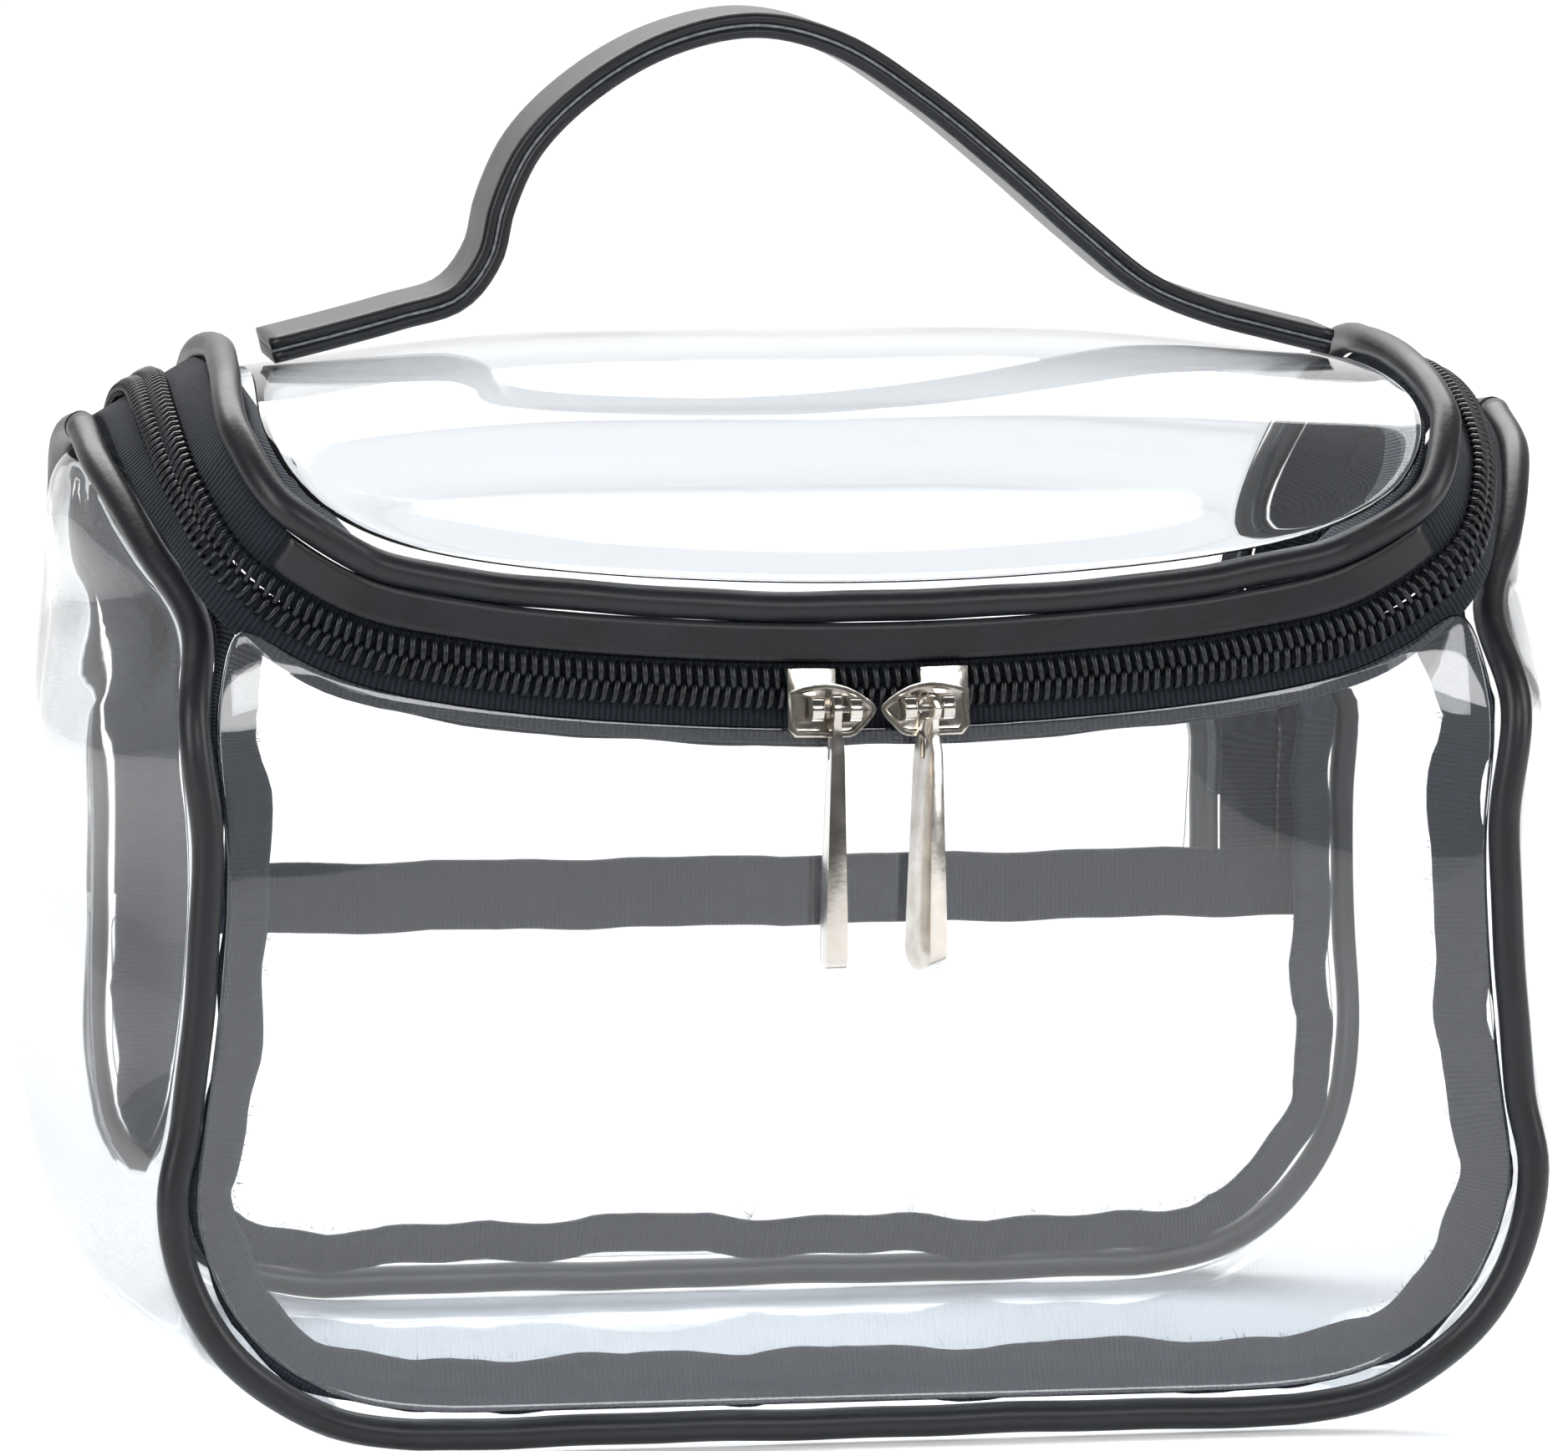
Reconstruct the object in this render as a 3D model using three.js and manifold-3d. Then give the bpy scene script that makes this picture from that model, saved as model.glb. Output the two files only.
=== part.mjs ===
// A clear PVC makeup bag: a zip runs round three sides, the lid folds back on a seam across the back,
// and a two-layer strap handle stands on the lid. Every edge is piped and bound with woven tape.
// Millimetres, +Z up, -Y is the front. The origin is the centre of the base, on the floor.
import * as THREE from 'three';
import { mergeVertices } from 'three/addons/utils/BufferGeometryUtils.js';
import Module from 'manifold-3d';

const wasm = await Module();
wasm.setup();

// ---- overall sizes, measured to the seams
const FRONT_WIDTH = 217;
const WAIST_NARROWING = 11;
const BACK_NARROWING = 0.4;
const BASE_DEPTH = 130;
const BACK_FOOT = 0.86;
const CORNER_RADIUS = 38;
const GUSSET_BULGE = 22;

// ---- the zip line
const ZIP_HEIGHT = 118.8;
const ZIP_SETBACK = 5;
const HINGE_OVERHANG = 0.3;
const ZIP_ARC_RADIUS = 450;
const ZIP_ARC_HALF = 62;
const SHOULDER_HEIGHT = 160.5;
const SHOULDER_INSET = 3;
const HINGE_HEIGHT = 67.5;
const HINGE_INSET = 12.5;

// ---- materials and trims
const GAP = 0.3;
const PVC = 0.8;
const PIPING_RADIUS = 2.5;
const COIL_WIDTH = 3.1;
const COIL_HEIGHT = 2.2;
const UPPER_TAPE_WIDTH = 6.4;
const LOWER_TAPE_WIDTH = 5.4;
const TAPE = 0.9;
const PANEL_LAP = 2.4;
const BINDING_WIDTH = 9;
const BINDING = 1.2;
const HINGE_TAPE_WIDTH = 12;
const LID_CROWN = 15.5;
const PANEL_SINK = 1;
const LID_DIP = 4.6;
const LID_TUCK = 2.2;

// ---- handle strap
const STRAP_WIDTH = 20;
const STRAP_LAYER = 1.9;
const STRAP_INSET = 19;
const STRAP_PIVOT_HEIGHT = 187;
const STRAP_CLEAR = 0.6;
const STRAP_STEPS = 44;
const STRAP_ROUND_SIDES = 36;

// ---- sliders and pulls
const ZIP_MEET = 2;
const SLIDER_LENGTH = 14;
const SLIDER_HEIGHT = 8.8;
const SLIDER_PLATE = 1.3;
const SLIDER_DROP = 3.2;
const CROWN_TOP = 3.1;
const CROWN_LENGTH = 7.5;
const BAIL_PIN = 1;
const LUG_INNER = 2.1;
const LUG_WIDTH = 1.8;
const LUG_RADIUS = 1.9;
const PULL_LENGTH = 41.3;
const PULL_WIDTH = 6.4;
const PULL_THICKNESS = 3.3;
const PULL_RING = 2.45;
const PULL_HOLE = 1.75;
const RIGHT_PULL_TURN = THREE.MathUtils.degToRad(28);

// ---- places that follow from the sizes above
const WAIST_WIDTH = FRONT_WIDTH - WAIST_NARROWING;
const BACK_WIDTH = FRONT_WIDTH - BACK_NARROWING;
const SHOULDER_HALF = FRONT_WIDTH / 2 - SHOULDER_INSET;
const HINGE_HALF = FRONT_WIDTH / 2 - HINGE_INSET;
const ZIP_FRONT = ZIP_SETBACK - BASE_DEPTH / 2;
const ZIP_BACK = BASE_DEPTH / 2 + HINGE_OVERHANG;
const COIL_OUTER = GAP / 2 + COIL_WIDTH;
const UPPER_OUTER = COIL_OUTER + UPPER_TAPE_WIDTH;
const LOWER_OUTER = COIL_OUTER + LOWER_TAPE_WIDTH;
const LID_BEAD = UPPER_OUTER + 2 * GAP + PIPING_RADIUS;
const GUSSET_BEAD = LOWER_OUTER + 3 * GAP + PIPING_RADIUS;
const SHEET_START = PIPING_RADIUS + GAP;
const GUSSET_START = SHEET_START + GAP;
const BEAD_FLOOR = PIPING_RADIUS + GAP;
const BINDING_START = SHEET_START + 1;
const HINGE_CLEAR = 1.5;
const CORNER_STATION = 3.8;

const vec = (x, y, z) => new THREE.Vector3(x, y, z);
const mirror = (v) => vec(-v.x, v.y, v.z);
const lerp = THREE.MathUtils.lerp;

// ---- a path through stations, each with a direction "across" the trim that follows it
class TrimPath extends THREE.Curve {
  constructor(stations, floor = -Infinity) {
    super();
    this.stations = stations;
    this.floor = floor;
    this.line = new THREE.CatmullRomCurve3(stations.map((s) => s.point), false, 'centripetal');
  }

  getPoint(t, target = new THREE.Vector3()) {
    this.line.getPoint(t, target);
    target.z = Math.max(target.z, this.floor);
    return target;
  }

  between(t, key) {
    const place = THREE.MathUtils.clamp(t, 0, 1) * (this.stations.length - 1);
    const i = Math.min(Math.floor(place), this.stations.length - 2);
    const [a, b] = [this.stations[i][key], this.stations[i + 1][key]];
    return key === 'bulge' ? lerp(a, b, place - i) : a.clone().lerp(b, place - i);
  }

  frame(t) {
    const tangent = this.getTangent(t);
    const across = this.between(t, 'across');
    across.addScaledVector(tangent, -across.dot(tangent)).normalize();
    return { point: this.getPoint(t), tangent, across, out: tangent.clone().cross(across) };
  }

  offset(t, across, out = 0) {
    const f = this.frame(t);
    return f.point.addScaledVector(f.across, across).addScaledVector(f.out, out);
  }

  computeFrenetFrames(segments) {
    const frames = { tangents: [], normals: [], binormals: [] };
    for (let i = 0; i <= segments; i++) {
      const f = this.frame(this.getUtoTmapping(i / segments));
      frames.tangents.push(f.tangent);
      frames.normals.push(f.across);
      frames.binormals.push(f.out);
    }
    return frames;
  }
}

// one stretch of a trim path, from t0 to t1
class Stretch extends TrimPath {
  constructor(path, t0, t1) {
    super(path.stations, path.floor);
    this.t0 = t0;
    this.t1 = t1;
  }

  getPoint(t, target) {
    return super.getPoint(lerp(this.t0, this.t1, t), target);
  }

  frame(t) {
    const whole = new TrimPath(this.stations, this.floor);
    return whole.frame(lerp(this.t0, this.t1, t));
  }
}

// ---- the zip line: [x inset from the half width, part of the depth, part of the rise, across]
const frontRise = SHOULDER_HEIGHT - ZIP_HEIGHT;
const backRise = SHOULDER_HEIGHT - HINGE_HEIGHT;
const arcRise = (x) => ZIP_ARC_RADIUS - Math.sqrt(ZIP_ARC_RADIUS ** 2 - x ** 2);
const FRONT_LEAN = THREE.MathUtils.degToRad(7);

// the front of the zip is an arc in a plane Y = ZIP_FRONT, so a slider can turn about that arc's centre
function frontArc(distance) {
  const a = distance / ZIP_ARC_RADIUS;
  const x = ZIP_ARC_RADIUS * Math.sin(a);
  const point = vec(x, ZIP_FRONT, ZIP_HEIGHT + arcRise(x));
  const across = vec(0, Math.sin(FRONT_LEAN), Math.cos(FRONT_LEAN)).applyAxisAngle(vec(0, -1, 0), a);
  const tangent = vec(Math.cos(a), 0, Math.sin(a));
  return { point, tangent, across, out: tangent.clone().cross(across) };
}
const FRONT_CORNER = [
  [23.5, 0.972, 0.216, vec(-0.3, -0.02, 0.95)],
  [8.5, 0.9, 0.46, vec(-0.5, -0.35, 0.8)],
  [2.5, 0.7, 0.712, vec(-0.5, -0.4, 0.75)],
  [0, 0.367, 0.916, vec(-0.75, -0.2, 0.6)],
  [0, 0, 1, vec(-0.88, 0, 0.475)],
];
const BACK_CORNER = [
  [-0.5, 0.352, 0.96, vec(-0.85, 0.15, 0.5)],
  [0.5, 0.672, 0.842, vec(-0.85, 0.35, 0.4)],
  [4, 0.896, 0.655, vec(-0.95, 0.2, 0.2)],
];
const BACK_DROP = [[2, 0.984, 0.43], [0, 1, 0.226], [0, 1, 0.012]];

function zipStations() {
  const half = [];
  for (const share of [0.5, 1]) half.push(frontArc(ZIP_ARC_HALF * share));
  for (const [inset, depth, rise, across] of FRONT_CORNER) {
    const point = vec(SHOULDER_HALF - inset, ZIP_FRONT * depth, ZIP_HEIGHT + frontRise * rise);
    half.push({ point, across });
  }
  for (const [inset, depth, rise, across] of BACK_CORNER) {
    half.push({ point: vec(SHOULDER_HALF - inset, ZIP_BACK * depth, HINGE_HEIGHT + backRise * rise), across });
  }
  for (const [inset, depth, rise] of BACK_DROP) {
    const point = vec(HINGE_HALF + inset, ZIP_BACK * depth, HINGE_HEIGHT + backRise * rise);
    half.push({ point, across: vec(-1, 0, 0) });
  }
  const left = half.map((s) => ({ point: mirror(s.point), across: mirror(s.across) })).reverse();
  return [...left, frontArc(0), ...half];
}

const zip = new TrimPath(zipStations());
const ZIP_HALF_COUNT = (zip.stations.length - 1) / 2;
const CREST = 7;
const zipAt = (station) => 0.5 + station / (2 * ZIP_HALF_COUNT);

// ---- the gusset's two long seams, from the left shoulder, under the bag, to the right shoulder
const FRONT_LEG = [
  [2, 0.95, 0.86],
  [0, 0.982, 0.715],
  [1, 0.99, 0.55],
  [3.5, 0.985, 0.39],
];
const BACK_LEG = [[0, 0.985, 0.42]];
const SIDE_BULGE = [0, 0.2, 0.4, 0.58, 0.76, 0.9, 1, 1, 0.88];
const CORNER_BULGE = [0.7, 0.38, 0.05];
const FLOOR_POINTS = [1, 0.85, 0.6];

function seamStations(end) {
  const side = Math.sign(end);
  const points = [];
  const arch = end < 0 ? [7, 6, 5, 4] : [7, 8, 9, 10, 11, 12, 13];
  for (const station of arch) points.push(zip.offset(zipAt(station), -GUSSET_BEAD));
  const kneeHeight = BEAD_FLOOR + CORNER_RADIUS;
  const legs = end < 0 ? FRONT_LEG : BACK_LEG;
  const legTop = end < 0 ? WAIST_WIDTH / 2 : BACK_WIDTH / 2;
  for (const [flare, depth, height] of legs) {
    const z = lerp(kneeHeight, ZIP_HEIGHT + arcRise(ZIP_ARC_HALF), (height - 0.3) / 0.62);
    points.push(vec(legTop + flare, side * (BASE_DEPTH / 2) * depth, z));
  }
  const half = points.map((point) => ({ point, across: vec(1, 0, 0) }));
  const foot = end < 0 ? end : end * BACK_FOOT;
  half.push({ point: vec(FRONT_WIDTH / 2, lerp(end, foot, 0.55), kneeHeight), across: vec(1, 0, 0) });
  const turnX = FRONT_WIDTH / 2 - CORNER_RADIUS;
  for (const degrees of [22.5, 45, 67.5]) {
    const a = THREE.MathUtils.degToRad(degrees);
    const y = lerp(end, foot, lerp(0.55, 1, Math.sin(a)));
    const point = vec(turnX + CORNER_RADIUS * Math.cos(a), y, kneeHeight - CORNER_RADIUS * Math.sin(a));
    half.push({ point, across: vec(Math.cos(a), 0, -Math.sin(a)) });
  }
  for (const share of FLOOR_POINTS) {
    half.push({ point: vec(turnX * share, foot, BEAD_FLOOR), across: vec(0, 0, -1) });
  }
  const bulges = [...SIDE_BULGE, ...CORNER_BULGE, 0, 0, 0];
  half.forEach((s, i) => { s.bulge = bulges[i] * GUSSET_BULGE; });
  const left = half.map((s) => ({ ...s, point: mirror(s.point), across: mirror(s.across) }));
  const middle = { point: vec(0, foot, BEAD_FLOOR), across: vec(0, 0, -1), bulge: 0 };
  return [...left, middle, ...half.reverse()];
}

const frontSeam = new TrimPath(seamStations(-BASE_DEPTH / 2), BEAD_FLOOR);
const backSeam = new TrimPath(seamStations(BASE_DEPTH / 2), BEAD_FLOOR);
const SEAM_COUNT = frontSeam.stations.length - 1;
const seamAt = (station) => 1 - station / SEAM_COUNT;
const KNEE = 8;

// ---- solids
function signedVolume(positions, triangles) {
  let six = 0;
  for (const [a, b, c] of triangles) six += positions[a].dot(positions[b].clone().cross(positions[c]));
  return six / 6;
}

function solidFrom(positions, triangles) {
  const inside = signedVolume(positions, triangles) < 0;
  const order = triangles.map(([a, b, c]) => (inside ? [a, c, b] : [a, b, c]));
  const geometry = new THREE.BufferGeometry();
  geometry.setAttribute('position', new THREE.Float32BufferAttribute(positions.flatMap((p) => p.toArray()), 3));
  geometry.setIndex(order.flat());
  return geometry;
}

// a thin sheet of even thickness over a grid of points on its middle surface
function sheetSolid(grid, thickness) {
  const rows = grid.length;
  const cols = grid[0].length;
  const at = (i, j) => grid[Math.min(Math.max(i, 0), rows - 1)][Math.min(Math.max(j, 0), cols - 1)];
  const faces = [[], []];
  for (let i = 0; i < rows; i++) {
    for (let j = 0; j < cols; j++) {
      const along = at(i + 1, j).clone().sub(at(i - 1, j));
      const over = at(i, j + 1).clone().sub(at(i, j - 1));
      const normal = along.cross(over).normalize().multiplyScalar(thickness / 2);
      faces[0].push(grid[i][j].clone().add(normal));
      faces[1].push(grid[i][j].clone().sub(normal));
    }
  }
  const count = rows * cols;
  const id = (i, j, face) => face * count + i * cols + j;
  const triangles = [];
  const quad = (a, b, c, d) => triangles.push([a, b, c], [a, c, d]);
  for (let i = 0; i < rows - 1; i++) {
    for (let j = 0; j < cols - 1; j++) {
      quad(id(i, j, 0), id(i + 1, j, 0), id(i + 1, j + 1, 0), id(i, j + 1, 0));
      quad(id(i, j + 1, 1), id(i + 1, j + 1, 1), id(i + 1, j, 1), id(i, j, 1));
    }
    quad(id(i + 1, 0, 0), id(i, 0, 0), id(i, 0, 1), id(i + 1, 0, 1));
    quad(id(i, cols - 1, 0), id(i + 1, cols - 1, 0), id(i + 1, cols - 1, 1), id(i, cols - 1, 1));
  }
  for (let j = 0; j < cols - 1; j++) {
    quad(id(0, j, 0), id(0, j + 1, 0), id(0, j + 1, 1), id(0, j, 1));
    quad(id(rows - 1, j + 1, 0), id(rows - 1, j, 0), id(rows - 1, j, 1), id(rows - 1, j + 1, 1));
  }
  return solidFrom([...faces[0], ...faces[1]], triangles);
}

// a grid between four edge curves: "fade" is how fast the side curves die out toward the middle
function edgeGrid(low, high, left, right, cols, rows, swell, fade = 1) {
  const grid = [];
  const corner = [low.getPointAt(0), low.getPointAt(1), high.getPointAt(0), high.getPointAt(1)];
  for (let i = 0; i <= rows; i++) {
    const v = i / rows;
    const row = [];
    for (let j = 0; j <= cols; j++) {
      const u = j / cols;
      const p = low.getPointAt(u).lerp(high.getPointAt(u), v);
      p.addScaledVector(left.getPointAt(v).sub(corner[0].clone().lerp(corner[2], v)), (1 - u) ** fade);
      p.addScaledVector(right.getPointAt(v).sub(corner[1].clone().lerp(corner[3], v)), u ** fade);
      row.push(p.add(swell(u, v)));
    }
    grid.push(row);
  }
  return grid;
}

const curveThrough = (points) => new THREE.CatmullRomCurve3(points, false, 'centripetal');

function sample(count, pointAt) {
  return Array.from({ length: count + 1 }, (_, i) => pointAt(i / count));
}

function sweep(path, section, steps) {
  return new THREE.ExtrudeGeometry(section, { steps, bevelEnabled: false, extrudePath: path });
}

function strip(across0, across1, out0, out1) {
  const corners = [[across0, out0], [across1, out0], [across1, out1], [across0, out1]];
  return new THREE.Shape(corners.map(([x, y]) => new THREE.Vector2(x, y)));
}

function bead(across, radius = PIPING_RADIUS, sides = 8) {
  const points = [];
  for (let i = 0; i < sides; i++) {
    const a = (i + 0.5) * 2 * Math.PI / sides;
    points.push(new THREE.Vector2(across + radius * Math.cos(a), radius * Math.sin(a)));
  }
  return new THREE.Shape(points);
}

// a woven tape standing in from a seam: "toward" and "aside" give its direction in the seam's frame
function bindingStrip(toward, aside, width = BINDING_WIDTH) {
  const along = new THREE.Vector2(toward, aside).normalize();
  const square = new THREE.Vector2(-along.y, along.x).multiplyScalar(BINDING / 2);
  const near = along.clone().multiplyScalar(BINDING_START);
  const far = along.clone().multiplyScalar(BINDING_START + width);
  return new THREE.Shape([
    near.clone().sub(square),
    far.clone().sub(square),
    far.clone().add(square),
    near.clone().add(square),
  ]);
}

function shifted(shape, across) {
  return new THREE.Shape(shape.getPoints().map((p) => new THREE.Vector2(p.x + across, p.y)));
}

// ---- booleans
function toManifold(geometry) {
  const bare = geometry.clone();
  bare.deleteAttribute('normal');
  bare.deleteAttribute('uv');
  const merged = mergeVertices(bare, 1e-4);
  return new wasm.Manifold(new wasm.Mesh({
    numProp: 3,
    vertProperties: new Float32Array(merged.attributes.position.array),
    triVerts: new Uint32Array(merged.index.array),
  }));
}

function fromManifold(solid) {
  const mesh = solid.getMesh();
  const geometry = new THREE.BufferGeometry();
  geometry.setAttribute('position', new THREE.Float32BufferAttribute(mesh.vertProperties, 3));
  geometry.setIndex(Array.from(mesh.triVerts));
  return geometry;
}

// ---- materials
const FINISHES = {
  clearPvc: { color: 0xf2f5f8, roughness: 0.08, metalness: 0 },
  blackPu: { color: 0x2c2f36, roughness: 0.45, metalness: 0 },
  wovenTape: { color: 0x2f3743, roughness: 0.85, metalness: 0 },
  nylonCoil: { color: 0x23262c, roughness: 0.4, metalness: 0 },
  nickel: { color: 0xd8d4cd, roughness: 0.18, metalness: 1 },
};

const bag = new THREE.Group();

function addPart(name, geometry, finish, parent = bag) {
  const mesh = new THREE.Mesh(geometry, new THREE.MeshStandardMaterial(FINISHES[finish]));
  mesh.name = name;
  parent.add(mesh);
  return mesh;
}

// ---- clear panels
function gussetGrid() {
  const rows = 48;
  const cols = 6;
  const tip = 0.014;
  const grid = [];
  for (let i = 0; i <= rows; i++) {
    const t = lerp(tip, 1 - tip, i / rows);
    const front = frontSeam.frame(t);
    const back = backSeam.frame(t);
    const outward = frontSeam.between(t, 'across').normalize();
    const drop = (BEAD_FLOOR - PVC / 2) * Math.max(0, -outward.z) ** 2;
    const a = front.point.addScaledVector(front.out, GUSSET_START).addScaledVector(outward, drop);
    const b = back.point.addScaledVector(back.out, -GUSSET_START).addScaledVector(outward, drop);
    const bulge = frontSeam.between(t, 'bulge');
    const row = [];
    for (let j = 0; j <= cols; j++) {
      const v = j / cols;
      row.push(a.clone().lerp(b, v).addScaledVector(outward, bulge * 4 * v * (1 - v)));
    }
    grid.push(row);
  }
  return grid;
}

function panelGrid(seam, topCurve, sideTop, cols, rows) {
  const inset = (station) => seam.offset(seamAt(station), -SHEET_START);
  const right = [];
  for (let s = KNEE; s >= sideTop; s--) right.push(inset(s));
  right.push(topCurve.getPointAt(1));
  const left = right.map(mirror);
  const kneeT = [1 - seamAt(KNEE), seamAt(KNEE)];
  const base = sample(40, (k) => seam.offset(lerp(kneeT[0], kneeT[1], k), -SHEET_START));
  const side = Math.sign(seam.getPoint(0.5).y);
  const sink = (u, v) => vec(0, -side * PANEL_SINK * 16 * u * (1 - u) * v * (1 - v), 0);
  return edgeGrid(curveThrough(base), topCurve, curveThrough(left), curveThrough(right), cols, rows, sink, 8);
}

function zipSide(across, from, to, count, out = -TAPE / 2) {
  return sample(count, (k) => zip.offset(zipAt(lerp(from, to, k)), across, out));
}

function frontPanel() {
  const edge = -(COIL_OUTER + PANEL_LAP);
  const top = curveThrough(zipSide(edge, -CORNER_STATION, CORNER_STATION, 30, 2 * GAP + PVC / 2));
  return sheetSolid(panelGrid(frontSeam, top, 4, 18, 10), PVC);
}

function backPanel() {
  const z = HINGE_HEIGHT - HINGE_CLEAR;
  const end = BACK_WIDTH / 2 - SHEET_START;
  const top = curveThrough([-1, -0.5, 0, 0.5, 1].map((x) => vec(x * end, ZIP_BACK, z)));
  return sheetSolid(panelGrid(backSeam, top, 7, 16, 8), PVC);
}

function lidPanel() {
  const inset = LID_BEAD + SHEET_START + GAP;
  const tucked = LID_BEAD + LID_TUCK;
  const front = curveThrough(zipSide(inset, -CORNER_STATION, CORNER_STATION, 30));
  const right = sample(30, (k) => {
    const t = zipAt(lerp(CORNER_STATION, ZIP_HALF_COUNT, k));
    const tuck = Math.sin(Math.PI * k);
    return zip.offset(t, lerp(inset, tucked, tuck), -TAPE / 2 - LID_DIP * tuck);
  });
  const end = right[right.length - 1];
  const hinge = [-1, -0.5, 0, 0.5, 1].map((x) => vec(x * end.x, end.y, end.z));
  const crown = (u, v) => {
    const turn = v * Math.PI / 2;
    const rise = (1 - Math.abs(2 * u - 1) ** 3) * 6.75 * v * (1 - v) ** 2;
    return vec(0, Math.sin(turn), Math.cos(turn)).multiplyScalar(LID_CROWN * rise);
  };
  const left = curveThrough(right.map(mirror));
  return sheetSolid(edgeGrid(front, curveThrough(hinge), left, curveThrough(right), 16, 22, crown), PVC);
}

addPart('front_panel', frontPanel(), 'clearPvc');
addPart('back_panel', backPanel(), 'clearPvc');
addPart('gusset_strip', sheetSolid(gussetGrid(), PVC), 'clearPvc');
addPart('lid_panel', lidPanel(), 'clearPvc');

// ---- piping: one bead along each long seam of the gusset, and one round the lid
const JOIN_GAP = 0.12;
const JOIN_PROBE = 0.001;

// the front and back beads meet on each shoulder: each stops where its sloping end clears the other
function shoulderRun(seam) {
  const { point, tangent } = seam.frame(JOIN_PROBE);
  const start = JOIN_PROBE * (PIPING_RADIUS * Math.abs(tangent.z) + JOIN_GAP) / Math.abs(point.y);
  return new Stretch(seam, start, 1 - start);
}
const frontRun = shoulderRun(frontSeam);
const backRun = shoulderRun(backSeam);
addPart('front_piping', sweep(frontRun, bead(0), 76), 'blackPu');
addPart('back_piping', sweep(backRun, bead(0), 76), 'blackPu');
addPart('lid_piping', sweep(zip, bead(LID_BEAD), 66), 'blackPu');

// ---- the zip: tape, coil and facing on each side of the line where the two coils meet
const tapeInner = GAP / 2;
const coilTop = GAP + COIL_HEIGHT;
const ZIP_STEPS = 80;
const TAPE_SINK = 0.1;
addPart('upper_zip_tape', sweep(zip, strip(tapeInner, UPPER_OUTER, -TAPE, -TAPE_SINK), ZIP_STEPS), 'wovenTape');
addPart('lower_zip_tape', sweep(zip, strip(-LOWER_OUTER, -tapeInner, -TAPE, -TAPE_SINK), ZIP_STEPS), 'wovenTape');
addPart('upper_zip_coil', sweep(zip, strip(tapeInner, COIL_OUTER, GAP, coilTop), ZIP_STEPS), 'nylonCoil');
addPart('lower_zip_coil', sweep(zip, strip(-COIL_OUTER, -tapeInner, GAP, coilTop), ZIP_STEPS), 'nylonCoil');

const facingInner = COIL_OUTER + 2 * GAP;
const facing = new Stretch(zip, zipAt(-CORNER_STATION), zipAt(CORNER_STATION));
addPart('upper_zip_facing', sweep(facing, strip(facingInner, UPPER_OUTER, GAP, GAP + PVC), 42), 'blackPu');

// ---- woven bindings inside the seams
const bindingRun = (seam) => new Stretch(seam, 0.02, 0.98);
addPart('front_seam_binding', sweep(bindingRun(frontSeam), bindingStrip(-0.82, 0.57), 60), 'wovenTape');
addPart('back_seam_binding', sweep(bindingRun(backSeam), bindingStrip(-0.82, -0.57), 60), 'wovenTape');

const lidBinding = shifted(bindingStrip(0, -1, BINDING_WIDTH - 2), LID_BEAD);
const lidBindingEnd = ZIP_HALF_COUNT - 0.75;
const lidBindingRun = new Stretch(zip, zipAt(-lidBindingEnd), zipAt(lidBindingEnd));
addPart('lid_seam_binding', sweep(lidBindingRun, lidBinding, 56), 'wovenTape');

const zipBindingOut = -TAPE - 2 * GAP;
const zipBinding = strip(-LOWER_OUTER - 0.5, -COIL_OUTER - 1, zipBindingOut - BINDING, zipBindingOut);
const zipBindingEnd = CORNER_STATION - 0.6;
const zipBindingRun = new Stretch(zip, zipAt(-zipBindingEnd), zipAt(zipBindingEnd));
addPart('lower_zip_binding', sweep(zipBindingRun, zipBinding, 30), 'wovenTape');

function hingeBinding() {
  const length = 2 * HINGE_HALF;
  const geometry = new THREE.BoxGeometry(length, BINDING, HINGE_TAPE_WIDTH, 12, 1, 1);
  geometry.translate(0, ZIP_BACK - PIPING_RADIUS - GAP - BINDING / 2, HINGE_HEIGHT);
  return geometry;
}
addPart('hinge_binding', hingeBinding(), 'wovenTape');

// ---- handle: a two-layer strap, sewn into the lid piping at both ends
const STRAP_END = SHOULDER_HALF - STRAP_INSET;
const STRAP_FLAT = [[0, 167.3], [10.5, 169.9], [20.5, 172.6]];
const STRAP_ARCH = [
  [-56.5, 175.6], [-51.5, 182], [-49.5, 190], [-45, 199.5], [-36, 208.5], [-23, 216], [-8.5, 219],
  [5, 215.8], [19, 207], [33, 195.8], [45.5, 185], [56, 176.8],
];
const STRAP_SPINE = [
  ...STRAP_FLAT.map(([inset, z]) => [inset - STRAP_END, z]),
  ...STRAP_ARCH.map(([x, z]) => [x * STRAP_END / 86.5, z]),
  ...STRAP_FLAT.map(([inset, z]) => [STRAP_END - inset, z]).reverse(),
];

const box = (width, depth, height, x, z) => {
  return toManifold(new THREE.BoxGeometry(width, depth, height).translate(x, 0, z + height / 2));
};

// the arch leans about a line through both legs: each leg is cut to a round end about that line
function roundCut(radius, lift) {
  const length = 4 * FRONT_WIDTH;
  const drum = new THREE.CylinderGeometry(radius, radius, length, STRAP_ROUND_SIDES).rotateZ(Math.PI / 2);
  const above = box(length, 4 * STRAP_WIDTH, length, 0, STRAP_PIVOT_HEIGHT + lift);
  return toManifold(drum.translate(0, 0, STRAP_PIVOT_HEIGHT)).add(above);
}

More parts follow.
